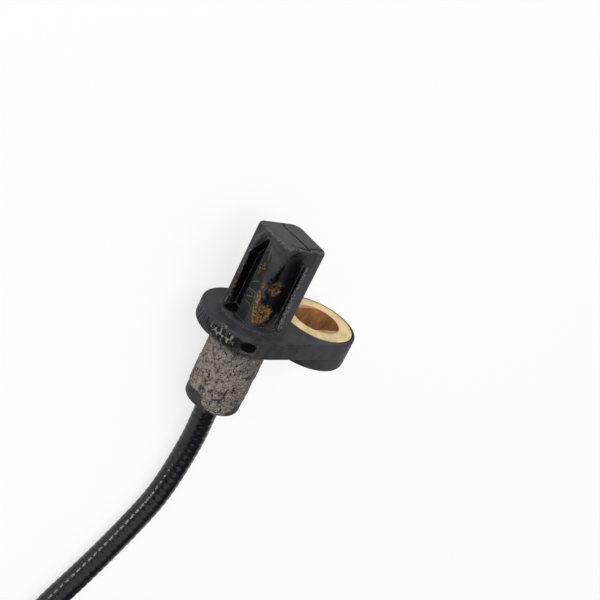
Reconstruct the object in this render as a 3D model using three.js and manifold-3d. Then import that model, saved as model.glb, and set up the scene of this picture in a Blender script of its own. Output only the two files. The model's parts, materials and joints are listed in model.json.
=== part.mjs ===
// Wheel speed sensor of an anti-lock brake system, with its cable wound for storage.
// Millimetres, +Z up. The sensor lies as it comes to rest on a table: on the edge of its flange
// and the rear edge of its body. The origin is under the middle of the sensor, on the table.
// In the sensor's own group +Z runs out along the nose, +X points from the nose to the ear with
// the bolt slot, and z = 0 is the face of the flange that seats on the wheel carrier.

import * as THREE from 'three';
import { mergeVertices } from 'three/addons/utils/BufferGeometryUtils.js';
import Module from 'manifold-3d';

const wasm = await Module();
wasm.setup();

// Fits
const clearance = 0.3; // gap between pieces that touch
const overcut = 1; // how far a cutting shape reaches past the face that it cuts
const sliver = 0.02; // thickness of the slab between the two halves of a tapered cutter
const mergeDistance = 1e-4; // corners closer than this are one

// Facets
const discSides = 96;
const bigSides = 64; // collar, boss, body, bush and coil
const boreSides = 32; // bores round the cable
const smallSides = 24; // bores of the connector
const wireSides = 16; // cores and crimps
const arcSegments = 12; // in each arc of an outline

// Nose
const noseLength = 20.7;
const noseWidth = 11.4; // across, towards the ear
const noseDepth = 12; // along the flange's straight sides' normal
const noseOffset = 0.6; // the nose stands this far towards the ear
const noseCornerSharp = 1.2;
const noseCornerBlunt = 1.7;
const noseCornerWide = 2.5; // the corner next to the ear
const noseTipRound = 0.95;
const noseEndWall = 1.2;
const collarRadius = 7.8; // spigot at the foot of the nose
const collarHeight = 0.45;

// Flutes that keep the moulded wall of the nose even
const deepFluteWidth = 4.2;
const deepFluteShift = 1.8; // its middle, from the middle of the nose
const deepFluteDepth = 2;
const deepFluteDraft = 0.5;
const deepFluteTop = 18.9;
const deepFluteShoulder = 14;
const hollowWidth = 4.9; // shallow hollow in the next face
const hollowDepth = 0.55;
const hollowShift = -1.75;
const hollowTop = 16.4;
const slitWidth = 0.95; // narrow groove beside the hollow
const slitFoot = 1.3; // its width at the foot of the nose
const slitShift = 0.75;
const slitDepth = 0.8;
const slitTop = 17;
const seamWidth = 0.24; // witness line of the mould's halves
const seamDepth = 0.12;
const seamShift = 0.3;

// Flange and ear
const discRadius = 11.1;
const discOffset = -0.9; // the disc's centre, from the nose's axis
const earRadius = 10.15;
const boltPitch = 18.95; // from the nose's axis to the bolt slot
const flangeThickness = 4.15;
const flangeTopRound = 0.45;
const lipThickness = 1.35; // the rounded lip above the ear's parting line
const partingGroove = 0.22;
const bandInset = 0.1; // the ear's sides stand back from the disc's rim
const rimSeam = 0.4; // where the disc's rim meets the ear's side
const bossHeight = 7.9; // under the ear, from the flange's face
const bossRound = 1.1;

// Small pads on the disc's rim, in rows that are staggered like bricks
const markDepth = 0.35;
const markLow = -3.7;
const markHigh = -0.75;
const markRows = 2;
const markRowGap = 0.35;
const markFrom = 150; // degrees round the disc
const markTo = 228;
const markCount = 11;
const markShare = 0.6; // of the pitch that is raised
const windowFrom = 231;
const windowTo = 250;
const windowDepth = 0.9;
const windowLow = -3.5;
const windowHigh = -0.95;

// Body behind the flange
const bodyRadius = 6.55;
const bodyLength = 23.6; // from the flange's face to the rear end
const bodyRound = 1.1;
const rearWall = 2.3;
const cavityRadius = 4.3;

// Bolt bush
const bushRadius = 9.1;
const bushProud = 0.1;
const slotRadius = 5.8;
const slotWidth = 8.9; // between the two flats

// Pieces inside the housing
const carrierWidth = 5.6;
const carrierDepth = 5.4;
const carrierRear = -8.5;
const channelWidth = 3.8;
const channelFloor = 0.6;
const chipThickness = 1;
const chipWidth = 4;
const chipDepth = 4.2;
const pocketWall = 0.7;
const magnetWidth = 3.2;
const magnetThickness = 2.2;
const magnetLength = 3.6;
const capacitorHeight = 4.3; // its lower edge above the flange's face
const capacitorLength = 3.4;
const capacitorThickness = 0.9;
const leadPitch = 2.2;
const leadWidth = 0.8;
const leadThickness = 0.35;
const leadEnd = -12;
const crimpRadius = 0.95;
const crimpBore = 0.65;
const crimpLength = 4.8;
const crimpFront = -9.2;
const coreRadius = 0.8;
const strandRadius = 0.4;
const jacketInside = 6.1; // length of the cable's jacket inside the body
const ferruleLength = 3;
const ferruleWall = 0.95;

// Cable and its coil
const cableDiameter = 5.6;
const cableSides = 12;
const cableStep = 2.2; // diameters in one straight step of the tube
const coilMeanRadius = 28.5;
const coilColumns = 2;
const coilLayers = 2;
const tieThickness = 0.6;
const tieWidth = 4.6;
const tieHeadLength = 4.4;
const tieHeadHeight = 2.6;

// Connector, measured from the rear face of its housing along its mating direction
const plugLength = 26;
const plugWidth = 15;
const plugHeight = 12;
const plugCorner = 2.2;
const plugEdge = 0.5;
const mouthDepth = 12.5;
const mouthWall = 2.1;
const webThickness = 4.5;
const entryDepth = 1.8;
const terminalPitch = 4.6;
const terminalWidth = 1.5;
const terminalThickness = 0.7;
const terminalBarrel = 1.1;
const terminalBarrelLength = 2.6;
const terminalReach = 20.8;
const sealBore = 2;
const sealLength = 3;
const sealStart = 2.4;
const lockThickness = 1.5;
const latchLength = 5;
const latchWidth = 5;
const latchHeight = 1.3;
const latchFlat = 1.7; // behind the latch's ramp
const ribHeight = 0.7;
const ribThickness = 1;
const ribLength = 11;
const bootLength = 17;
const bootRadius = 5.3;
const bootTipRadius = 4;
const bootGrooves = 4;
const bootGrooveDepth = 0.7;
const bootGrooveWidth = 1.4;
const bootGrooveFlank = 0.35;
const bootGroovePitch = 2.8;

// Places on the table, chosen by hand
const cableRoute = [
  [-31.2, 8.95, 4.35],
  [-36.9, 10.1, 3.65],
  [-42.3, 11.75, 3.2],
  [-47.4, 14.1, 3],
  [-51.9, 17.1, 2.9],
  [-60.4, 23.9, 2.9],
  [-66.5, 29.3, 2.9],
  [-72.7, 35, 2.9],
  [-77, 38.5, 2.95],
  [-81.9, 41.2, 3],
  [-87.2, 43, 3.1],
];
const tailRoute = [
  [-147, 41.4, 7.4],
  [-153.6, 36.9, 5.7],
  [-158.1, 30.3, 5],
  [-160, 24.2, 5.35],
];
const coilCentre = [-116, 14.1];
const coilEntry = 86; // degrees round the coil where the cable joins it
const coilLeave = 95; // degrees round the coil where the cable leaves it
const tieAngles = [20, 140, 260];
const plugPlace = [-160.3, 0]; // middle of the connector's rear face

// Finishes
const blackPlastic = { color: 0x2b2b30, roughness: 0.55, metalness: 0 };
const brass = { color: 0xc9b27c, roughness: 0.35, metalness: 1 };
const brownPlastic = { color: 0x54402f, roughness: 0.6, metalness: 0 };
const chipEpoxy = { color: 0x17171a, roughness: 0.5, metalness: 0 };
const magnetNickel = { color: 0x9a9a9c, roughness: 0.3, metalness: 1 };
const capacitorGlaze = { color: 0xa8763c, roughness: 0.4, metalness: 0 };
const tinnedCopper = { color: 0xb8a48c, roughness: 0.35, metalness: 1 };
const coreWhite = { color: 0xe4e2dc, roughness: 0.5, metalness: 0 };
const coreBlack = { color: 0x1c1c1f, roughness: 0.5, metalness: 0 };
const ferruleSteel = { color: 0x8d9094, roughness: 0.4, metalness: 1 };
const cableJacket = { color: 0x1d1d22, roughness: 0.5, metalness: 0 };
const tieNylon = { color: 0x24242a, roughness: 0.5, metalness: 0 };
const connectorPlastic = { color: 0x323238, roughness: 0.5, metalness: 0 };
const lockPlastic = { color: 0x9aa0a6, roughness: 0.5, metalness: 0 };
const sealRubber = { color: 0x8c4a2a, roughness: 0.7, metalness: 0 };
const bootRubber = { color: 0x202024, roughness: 0.75, metalness: 0 };

// Sizes that follow from the ones above
const cableRadius = cableDiameter / 2;
const flangeMiddle = -flangeThickness / 2;
const bushBore = bushRadius + clearance;
const jacketEnd = -bodyLength + jacketInside;
const cableBore = cableRadius + clearance;
const cavityEnd = noseLength - noseEndWall;
const carrierFront = cavityEnd - clearance;
const plugAxisHeight = plugHeight / 2;
const mouthFloor = plugLength - mouthDepth;
const mouthWidth = plugWidth - 2 * mouthWall;
const mouthHeight = plugHeight - 2 * mouthWall;
const mouthCorner = plugCorner - mouthWall / 2;
const coilBandWidth = coilColumns * cableDiameter;
const coilBandHeight = coilLayers * cableDiameter;
const coilLift = tieThickness + clearance;
const outerTurnRadius = coilMeanRadius + (coilBandWidth - cableDiameter) / 2;
const coilInnerRadius = coilMeanRadius - coilBandWidth / 2;
const coilOuterRadius = coilMeanRadius + coilBandWidth / 2;
const topTurnHeight = coilLift + coilBandHeight - cableRadius;

const radians = THREE.MathUtils.degToRad;

// Turns a closed geometry into a solid whose faces point outwards.
function toSolid(geometry) {
  const bare = geometry.index ? geometry.clone() : geometry;
  bare.deleteAttribute('normal');
  bare.deleteAttribute('uv');
  const merged = mergeVertices(bare, mergeDistance);
  const position = merged.getAttribute('position');
  const index = Array.from(merged.getIndex().array);
  const a = new THREE.Vector3();
  const b = new THREE.Vector3();
  const c = new THREE.Vector3();
  const triangles = [];
  let volume = 0;
  for (let i = 0; i < index.length; i += 3) {
    const corners = [index[i], index[i + 1], index[i + 2]];
    if (new Set(corners).size < 3) continue;
    a.fromBufferAttribute(position, corners[0]);
    b.fromBufferAttribute(position, corners[1]);
    c.fromBufferAttribute(position, corners[2]);
    volume += a.dot(b.cross(c));
    triangles.push(corners);
  }
  if (volume < 0) triangles.forEach((corners) => corners.reverse());
  const mesh = new wasm.Mesh({
    numProp: 3,
    vertProperties: new Float32Array(position.array),
    triVerts: new Uint32Array(triangles.flat()),
  });
  return new wasm.Manifold(mesh);
}

// Gives a solid back as a named mesh with its finish.
function toMesh(name, solid, finish) {
  const mesh = solid.getMesh();
  const geometry = new THREE.BufferGeometry();
  const corners = new THREE.BufferAttribute(new Float32Array(mesh.vertProperties), 3);
  geometry.setAttribute('position', corners);
  geometry.setIndex(new THREE.BufferAttribute(new Uint32Array(mesh.triVerts), 1));
  geometry.computeVertexNormals();
  const piece = new THREE.Mesh(geometry, new THREE.MeshStandardMaterial(finish));
  piece.name = name;
  return piece;
}

// Extrudes a shape from zLow to zHigh, with both of its end edges rounded by the amount edge.
function prism(shape, zLow, zHigh, edge = 0, segments = 3) {
  const geometry = new THREE.ExtrudeGeometry(shape, {
    depth: zHigh - zLow - 2 * edge,
    steps: 1,
    curveSegments: arcSegments,
    bevelEnabled: edge > 0,
    bevelThickness: edge,
    bevelSize: edge,
    bevelOffset: -edge,
    bevelSegments: segments,
  });
  return toSolid(geometry.translate(0, 0, zLow + edge));
}

// Extrudes an outline whose walls lean inwards by draft over the given depth, to both sides of z = 0.
function taperedCutter(shape, depth, draft) {
  const geometry = new THREE.ExtrudeGeometry(shape, {
    depth: sliver,
    steps: 1,
    bevelEnabled: true,
    bevelThickness: depth,
    bevelSize: draft,
    bevelOffset: -draft,
    bevelSegments: 1,
  });
  return geometry.translate(0, 0, -sliver / 2);
}

// Spins a profile of [radius, z] points about the z axis.
function turned(profile, sides = bigSides) {
  const points = profile.map(([radius, z]) => new THREE.Vector2(radius, z));
  return toSolid(new THREE.LatheGeometry(points, sides).rotateX(Math.PI / 2));
}

// A block between two corners.
function block([x0, y0, z0], [x1, y1, z1]) {
  const geometry = new THREE.BoxGeometry(x1 - x0, y1 - y0, z1 - z0);
  return toSolid(geometry.translate((x0 + x1) / 2, (y0 + y1) / 2, (z0 + z1) / 2));
}

function circle(x, y, radius, sides) {
  const shape = new THREE.Shape();
  for (let i = 0; i < sides; i += 1) {
    const turn = (2 * Math.PI * i) / sides;
    const px = x + radius * Math.cos(turn);
    const py = y + radius * Math.sin(turn);
    if (i === 0) shape.moveTo(px, py);
    else shape.lineTo(px, py);
  }
  shape.closePath();
  return shape;
}

function polygon(points) {
  const shape = new THREE.Shape();
  points.forEach(([x, y], i) => (i === 0 ? shape.moveTo(x, y) : shape.lineTo(x, y)));
  shape.closePath();
  return shape;
}

// A rectangle with a radius of its own at each corner, from (+, +) counter-clockwise.
function roundedRectangle(x, y, width, height, [r1, r2, r3, r4]) {
  const shape = new THREE.Shape();
  const w = width / 2;
  const h = height / 2;
  const quarter = Math.PI / 2;
  shape.absarc(x + w - r1, y + h - r1, r1, 0, quarter);
  shape.absarc(x - w + r2, y + h - r2, r2, quarter, 2 * quarter);
  shape.absarc(x - w + r3, y - h + r3, r3, 2 * quarter, 3 * quarter);
  shape.absarc(x + w - r4, y - h + r4, r4, 3 * quarter, 4 * quarter);
  shape.closePath();
  return shape;
}

// The flange seen along the nose: a disc and an ear joined by two straight sides.
function flangeOutline(inset) {
  const lean = Math.acos((discRadius - earRadius) / (boltPitch - discOffset));
  const shape = new THREE.Shape();
  shape.absarc(boltPitch, 0, earRadius - inset, -lean, lean);
  shape.absarc(discOffset, 0, discRadius - inset, lean, 2 * Math.PI - lean);
  shape.closePath();
  return shape;
}

// Part of a ring round the disc's centre, between two angles in degrees.
function discSector(innerRadius, from, to) {
  const outerRadius = discRadius + overcut;
  const shape = new THREE.Shape();
  shape.absarc(discOffset, 0, outerRadius, radians(from), radians(to));
  shape.absarc(discOffset, 0, innerRadius, radians(to), radians(from), true);
  shape.closePath();
  return shape;
}

// Profile of a round bar with its lower edge rounded, from zLow to zHigh.
function roundedBar(radius, zLow, zHigh, round, steps = 4) {
  const profile = [[0, zLow]];
  for (let i = 0; i <= steps; i += 1) {
    const turn = (Math.PI / 2) * (i / steps);
    profile.push([radius - round + round * Math.sin(turn), zLow + round - round * Math.cos(turn)]);
  }
  profile.push([radius, zHigh], [0, zHigh]);
  return profile;
}

// Nose with its flutes
function makeNose() {
  const corners = [noseCornerWide, noseCornerSharp, noseCornerBlunt, noseCornerSharp];
  const outline = roundedRectangle(noseOffset, 0, noseWidth, noseDepth, corners);
  let nose = prism(outline, flangeMiddle, noseLength, noseTipRound);

  const faceX = noseOffset - noseWidth / 2;
  const faceY = -noseDepth / 2;
  const halfFlute = deepFluteWidth / 2;
  const fluteOutline = polygon([
    [deepFluteShift + halfFlute, collarHeight],
    [deepFluteShift + halfFlute, deepFluteShoulder],
    [deepFluteShift - halfFlute / 2, deepFluteTop],
    [deepFluteShift - halfFlute, deepFluteTop],
    [deepFluteShift - halfFlute, collarHeight],
  ]);
  const flute = taperedCutter(fluteOutline, deepFluteDepth, deepFluteDraft);
  flute.rotateX(Math.PI / 2).rotateZ(Math.PI / 2).translate(faceX, 0, 0);
  nose = nose.subtract(toSolid(flute));

  const hollowRadius = (hollowWidth ** 2 / 4 + hollowDepth ** 2) / (2 * hollowDepth);
  const hollowX = noseOffset + hollowShift;
  const hollowY = faceY - hollowRadius + hollowDepth;
  const hollow = prism(circle(hollowX, hollowY, hollowRadius, bigSides), collarHeight, hollowTop);
  const runout = new THREE.SphereGeometry(hollowRadius, bigSides, boreSides).rotateX(Math.PI / 2);
  runout.translate(hollowX, hollowY, hollowTop);
  nose = nose.subtract(hollow).subtract(toSolid(runout));

  const slitX = noseOffset + slitShift;
  const slit = polygon([
    [slitX, collarHeight + slitWidth],
    [slitX + slitFoot, collarHeight + slitWidth],
    [slitX + slitWidth, slitTop - 2 * slitWidth],
    [slitX + slitWidth / 2, slitTop],
    [slitX, slitTop - slitWidth],
  ]);
  const slitCut = taperedCutter(slit, slitDepth, slitWidth / 4).rotateX(Math.PI / 2);
  nose = nose.subtract(toSolid(slitCut.translate(0, faceY, 0)));

  const seamX = noseOffset + seamShift;
  const tipSeam = block(
    [seamX - seamWidth / 2, -noseDepth, noseLength - seamDepth],
    [seamX + seamWidth / 2, noseDepth, noseLength + overcut],
  );
  return nose.subtract(tipSeam);
}

// Flange, ear and the boss under the ear
function makeFlange() {
  const core = prism(flangeOutline(partingGroove), -flangeThickness, -flangeTopRound);
  const earHalf = block(
    [rimSeam, -2 * discRadius, -bossHeight],
    [boltPitch + 2 * earRadius, 2 * discRadius, overcut],
  );
  const lip = prism(flangeOutline(bandInset), -lipThickness, 0, flangeTopRound);
  const bandTop = -lipThickness - partingGroove;
  const band = prism(flangeOutline(bandInset), -flangeThickness, bandTop, partingGroove, 2);
  const earSide = lip.add(band).intersect(earHalf);

  const disc = circle(discOffset, 0, discRadius, discSides);
  let rim = prism(disc, -flangeThickness, 0, flangeTopRound);
  const pitch = (markTo - markFrom) / markCount;
  const rowHeight = (markHigh - markLow) / markRows;
  const between = discSector(discRadius - markDepth, markFrom, markTo);
  for (let row = 0; row < markRows; row += 1) {
    const low = markLow + row * rowHeight;
    if (row > 0) rim = rim.subtract(prism(between, low - markRowGap / 2, low + markRowGap / 2));
    for (let i = 0; i < markCount; i += 1) {
      const from = markFrom + (i + row / markRows) * pitch;
      const gap = discSector(discRadius - markDepth, from, from + pitch * (1 - markShare));
      rim = rim.subtract(prism(gap, low, low + rowHeight));
    }
  }
  const window = discSector(discRadius - windowDepth, windowFrom, windowTo);
  rim = rim.subtract(prism(window, windowLow, windowHigh));
  rim = rim.subtract(earHalf);

  const collarShape = circle(0, 0, collarRadius, bigSides);
  const collar = prism(collarShape, -flangeThickness, collarHeight, collarHeight / 2, 1);
  const boss = turned(roundedBar(earRadius - bandInset, -bossHeight, flangeMiddle, bossRound));
  return core.add(earSide).add(rim).add(collar).add(boss.translate([boltPitch, 0, 0]));
}

// The one-piece moulding round everything, with its openings
function makeHousing() {
  const body = turned(roundedBar(bodyRadius, -bodyLength, flangeMiddle, bodyRound));
  const halfWidth = carrierWidth / 2 + clearance;
  const halfDepth = carrierDepth / 2 + clearance;
  const pocket = block(
    [noseOffset - halfWidth, -halfDepth, carrierRear - clearance],
    [noseOffset + halfWidth, halfDepth, cavityEnd],
  );
  const cavity = prism(circle(0, 0, cavityRadius, boreSides), -bodyLength + rearWall, carrierRear);
  const boreEnd = -bodyLength + rearWall + overcut;
  const bore = prism(circle(0, 0, cableBore, boreSides), -bodyLength - overcut, boreEnd);
  const bushSeat = prism(circle(boltPitch, 0, bushBore, bigSides), -bossHeight - overcut, overcut);
  const shell = makeNose().add(makeFlange()).add(body);
  const solid = shell.subtract(bushSeat).subtract(pocket).subtract(cavity).subtract(bore);
  return toMesh('sensor_housing', solid, blackPlastic);
}

// Pressed-in metal bush with a slot for the bolt
function makeBush() {
  const ring = circle(boltPitch, 0, bushRadius, bigSides);
  const turn = Math.asin(slotWidth / 2 / slotRadius);
  const slot = new THREE.Path();
  slot.absarc(boltPitch, 0, slotRadius, -turn, turn);
  slot.absarc(boltPitch, 0, slotRadius, Math.PI - turn, Math.PI + turn);
  slot.closePath();
  ring.holes.push(slot);
  return toMesh('mounting_bush', prism(ring, -bossHeight - bushProud, bushProud), brass);
}

// Carrier that holds the chip, the magnet and the leads in the nose
const pocketFront = carrierFront - chipThickness - clearance;
const magnetFront = pocketFront - pocketWall - clearance;
const magnetRear = magnetFront - magnetLength;
const magnetTop = channelFloor - clearance / 2;
const leadBottom = channelFloor + clearance;
const leadMiddle = leadBottom + leadThickness / 2;

function makeCarrier() {
  const x = noseOffset;
  const w = carrierWidth / 2;
  const d = carrierDepth / 2;
  const half = channelWidth / 2;
  const magnetHalf = magnetWidth / 2 + clearance;
  const chipHalf = chipWidth / 2 + clearance;
  const bar = block([x - w, -d, carrierRear], [x + w, d, carrierFront]);
  const channel = block(
    [x - half, channelFloor, carrierRear - overcut],
    [x + half, d + overcut, carrierFront + overcut],
  );
  const magnetPocket = block(
    [x - magnetHalf, magnetTop - magnetThickness - clearance, magnetRear - clearance],
    [x + magnetHalf, channelFloor + overcut, magnetFront + clearance],
  );
  const chipPocket = block(
    [x - chipHalf, -chipDepth / 2 - clearance, pocketFront],
    [x + chipHalf, d + overcut, carrierFront + overcut],
  );
  const capacitorPocket = block(
    [x - half, leadBottom - capacitorThickness - 2 * clearance, capacitorHeight - clearance],
    [x + half, channelFloor + overcut, capacitorHeight + capacitorLength + clearance],
  );
  const pockets = magnetPocket.add(chipPocket).add(capacitorPocket);
  const solid = bar.subtract(channel).subtract(pockets);
  return toMesh('sensor_carrier', solid, brownPlastic);
}

function makeChip() {
  const solid = block(
    [noseOffset - chipWidth / 2, -chipDepth / 2, pocketFront + clearance],
    [noseOffset + chipWidth / 2, chipDepth / 2, pocketFront + clearance + chipThickness],
  );
  return toMesh('sensing_chip', solid, chipEpoxy);
}

function makeMagnet() {
  const solid = block(
    [noseOffset - magnetWidth / 2, magnetTop - magnetThickness, magnetRear],
    [noseOffset + magnetWidth / 2, magnetTop, magnetFront],
  );
  return toMesh('bias_magnet', solid, magnetNickel);
}

function makeCapacitor() {
  const half = channelWidth / 2 - clearance;
  const top = leadBottom - clearance;
  const solid = block(
    [noseOffset - half, top - capacitorThickness, capacitorHeight],
    [noseOffset + half, top, capacitorHeight + capacitorLength],
  );
  return toMesh('filter_capacitor', solid, capacitorGlaze);
}

// Lead strip, crimp sleeve and insulated core of one side; side is -1 or 1.
function makeConductor(side, letter, coreFinish) {
  const x = noseOffset + (side * leadPitch) / 2;
  const strip = block(
    [x - leadWidth / 2, leadBottom, leadEnd],
    [x + leadWidth / 2, leadBottom + leadThickness, pocketFront],
  );
  const crimpRear = crimpFront - crimpLength;
  const coreFront = crimpRear - clearance;
  const round = (radius) => circle(x, leadMiddle, radius, wireSides);
  const sleeveShape = round(crimpRadius);
  sleeveShape.holes.push(round(crimpBore));
  const sleeve = prism(sleeveShape, crimpRear, crimpFront);
  const strand = prism(round(strandRadius), coreFront, leadEnd - clearance);
  const insulation = prism(round(coreRadius), jacketEnd + clearance, coreFront);
  return [
    toMesh(`lead_strip_${letter}`, strip, tinnedCopper),
    toMesh(`crimp_sleeve_${letter}`, sleeve, tinnedCopper),
    toMesh(`core_wire_${letter}`, strand.add(insulation), coreFinish),
  ];
}

// Ring squeezed on the jacket so that a pull on the cable ends in the housing
function makeFerrule() {
  const low = -bodyLength + rearWall + clearance;
  const ring = circle(0, 0, cableBore + ferruleWall, boreSides);
  ring.holes.push(circle(0, 0, cableBore, boreSides));
  return toMesh('cable_ferrule', prism(ring, low, low + ferruleLength), ferruleSteel);
}

// The sensor lies over on the rear edge of the flange and the rear edge of the body.
function layDown(sensor) {
  const reach = bodyLength - bodyRound - flangeThickness;
  const step = discRadius - bodyRadius + bodyRound;
  const lean = Math.atan2(step, reach) - Math.asin(bodyRound / Math.hypot(reach, step));
  const earAxis = new THREE.Vector3(0, -1, 0);
  const sideAxis = new THREE.Vector3(Math.sin(lean), 0, -Math.cos(lean));
  const noseAxis = new THREE.Vector3(Math.cos(lean), 0, Math.sin(lean));
  sensor.quaternion.setFromRotationMatrix(new THREE.Matrix4().makeBasis(earAxis, sideAxis, noseAxis));
  const box = new THREE.Box3().setFromObject(sensor, true);
  const middle = box.getCenter(new THREE.Vector3());
  sensor.position.set(-middle.x, -middle.y, -box.min.z);
  sensor.updateMatrixWorld(true);
}

// A round tube along points, its steps cableStep long.
function tube(points) {
  const curve = new THREE.CatmullRomCurve3(points, false, 'centripetal');
  const steps = Math.ceil(curve.getLength() / (cableStep * cableDiameter));
  const section = circle(0, 0, cableRadius, cableSides);
  return toSolid(new THREE.ExtrudeGeometry(section, { steps, bevelEnabled: false, extrudePath: curve }));
}

// Where a straight cable that joins the outer turn first comes within a clearance of the coil
function coilApproach() {
  const innerSide = outerTurnRadius - cableRadius;
  return Math.sqrt((coilOuterRadius + clearance) ** 2 - innerSide ** 2);
}

function onCoil(degrees, radius, z) {
  const x = coilCentre[0] + radius * Math.cos(radians(degrees));
  const y = coilCentre[1] + radius * Math.sin(radians(degrees));
  return new THREE.Vector3(x, y, z);
}

// The direction in which the cable runs at an angle round the coil
function headingOnCoil(degrees) {
  return new THREE.Vector3(-Math.sin(radians(degrees)), Math.cos(radians(degrees)), 0);
}

// Cable from inside the housing to the coil
function makeCable(sensor) {
  const alongSensor = (z) => sensor.localToWorld(new THREE.Vector3(0, 0, z));
  const start = [jacketEnd, -bodyLength, -bodyLength - cableRadius].map(alongSensor);
  const route = cableRoute.map((point) => new THREE.Vector3(...point));
  const joint = onCoil(coilEntry, outerTurnRadius, coilLift + cableRadius);
  const end = joint.addScaledVector(headingOnCoil(coilEntry), -coilApproach());
  return toMesh('cable', tube([...start, ...route, end]), cableJacket);
}

function makeCoil() {
  const profile = [
    [coilInnerRadius, coilLift],
    [coilOuterRadius, coilLift],
    [coilOuterRadius, coilLift + coilBandHeight],
    [coilInnerRadius, coilLift + coilBandHeight],
    [coilInnerRadius, coilLift],
  ];
  return toMesh('cable_coil', turned(profile).translate([...coilCentre, 0]), cableJacket);
}

// Nylon tie round the coil's turns, with its head on top
function makeTie(letter, degrees) {
  const half = tieWidth / 2;
  const low = coilInnerRadius - clearance - tieThickness;
  const high = coilOuterRadius + clearance + tieThickness;
  const top = coilLift + coilBandHeight + clearance + tieThickness;
  const outer = block([low, -half, 0], [high, half, top]);
  const inner = block(
    [low + tieThickness, -half - overcut, tieThickness],
    [high - tieThickness, half + overcut, top - tieThickness],
  );
  const head = block(
    [coilMeanRadius - tieHeadLength / 2, -half, top - tieThickness / 2],
    [coilMeanRadius + tieHeadLength / 2, half, top - tieThickness + tieHeadHeight],
  );
  const solid = outer.subtract(inner).add(head).rotate([0, 0, degrees]).translate([...coilCentre, 0]);
  return toMesh(`coil_tie_${letter}`, solid, tieNylon);
}

// The connector is modelled with +X as its mating direction and its axis at plugAxisHeight.
function prismX(shape, low, high, edge = 0) {
  const solid = prism(shape, low, high, edge);
  return solid.rotate([90, 0, 90]).translate([0, 0, plugAxisHeight]);
}

// A slot for the blade of one side, from low to high
function bladeSlot(side, low, high) {
  const y = (side * terminalPitch) / 2;
  const halfWidth = terminalWidth / 2 + clearance;
  const halfHeight = terminalThickness / 2 + clearance;
  return block(
    [low, y - halfWidth, plugAxisHeight - halfHeight],
    [high, y + halfWidth, plugAxisHeight + halfHeight],
  );
}

function makePlugHousing() {
  const outline = roundedRectangle(0, 0, plugWidth, plugHeight, Array(4).fill(plugCorner));
  const mouthOutline = roundedRectangle(0, 0, mouthWidth, mouthHeight, Array(4).fill(mouthCorner));
  const shell = prismX(outline, 0, plugLength, plugEdge);
  const mouth = prismX(mouthOutline, mouthFloor, plugLength + overcut);
  const entry = prismX(circle(0, 0, sealBore + terminalPitch / 2, boreSides), -overcut, entryDepth);
  const webRear = mouthFloor - webThickness;
  const ribFront = plugLength - plugEdge;
  let solid = shell.subtract(mouth).subtract(entry);
  for (const side of [-1, 1]) {
    const bore = prismX(circle((side * terminalPitch) / 2, 0, sealBore, smallSides), -overcut, webRear);
    const slot = bladeSlot(side, webRear - overcut, mouthFloor + overcut);
    const y = (side * plugWidth) / 2;
    const rib = block(
      [ribFront - ribLength, y - ribHeight, plugAxisHeight - ribThickness / 2],
      [ribFront, y + ribHeight, plugAxisHeight + ribThickness / 2],
    );
    solid = solid.subtract(bore).subtract(slot).add(rib);
  }
  const latchStart = plugLength - latchLength - 2 * plugEdge;
  const ramp = polygon([
    [latchStart, plugHeight - plugEdge],
    [latchStart, plugHeight + latchHeight],
    [latchStart + latchFlat, plugHeight + latchHeight],
    [latchStart + latchLength, plugHeight - plugEdge],
  ]);
  const latch = prism(ramp, -latchWidth / 2, latchWidth / 2).rotate([90, 0, 0]);
  return toMesh('connector_housing', solid.add(latch), connectorPlastic);
}

// Blade terminal, wire seal and core of one side of the connector
function makeTerminal(side, letter, coreFinish) {
  const y = (side * terminalPitch) / 2;
  const barrelStart = mouthFloor - webThickness - clearance - terminalBarrelLength;
  const barrelEnd = barrelStart + terminalBarrelLength;
  const barrel = prismX(circle(y, 0, terminalBarrel, wireSides), barrelStart, barrelEnd);
  const blade = block(
    [barrelEnd - clearance, y - terminalWidth / 2, plugAxisHeight - terminalThickness / 2],
    [terminalReach, y + terminalWidth / 2, plugAxisHeight + terminalThickness / 2],
  );
  const sealRing = circle(y, 0, sealBore - clearance, smallSides);
  sealRing.holes.push(circle(y, 0, coreRadius + clearance, wireSides));
  const seal = prismX(sealRing, sealStart, sealStart + sealLength);
  const core = prismX(circle(y, 0, coreRadius, wireSides), 2 * clearance, barrelStart - clearance);
  return [
    toMesh(`terminal_${letter}`, barrel.add(blade), tinnedCopper),
    toMesh(`wire_seal_${letter}`, seal, sealRubber),
    toMesh(`connector_core_${letter}`, core, coreFinish),
  ];
}

// Comb that keeps the blades seated, on the floor of the mouth
function makeLock() {
  const width = mouthWidth - 2 * clearance;
  const height = mouthHeight - 2 * clearance;
  const shape = roundedRectangle(0, 0, width, height, Array(4).fill(mouthCorner));
  const comb = prismX(shape, mouthFloor + clearance, mouthFloor + clearance + lockThickness);
  const slots = [-1, 1].map((side) => bladeSlot(side, mouthFloor, plugLength));
  return toMesh('terminal_lock', comb.subtract(slots[0]).subtract(slots[1]), lockPlastic);
}

// Tapered rubber boot on the cable behind the connector
function makeBoot() {
  const front = -clearance;
  const rear = front - bootLength;
  const profile = [[cableBore, rear], [bootTipRadius, rear]];
  for (let i = 1; i <= bootGrooves; i += 1) {
    const low = rear + i * bootGroovePitch;
    const high = low + bootGrooveWidth;
    const share = (low - rear) / bootLength;
    const radius = THREE.MathUtils.lerp(bootTipRadius, bootRadius, share);
    profile.push([radius, low], [radius - bootGrooveDepth, low + bootGrooveFlank]);
    profile.push([radius - bootGrooveDepth, high - bootGrooveFlank], [radius, high]);
  }
  profile.push([bootRadius, front], [cableBore, front], [cableBore, rear]);
  const solid = turned(profile, boreSides).rotate([0, 90, 0]).translate([0, 0, plugAxisHeight]);
  return toMesh('cable_boot', solid, bootRubber);
}

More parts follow.
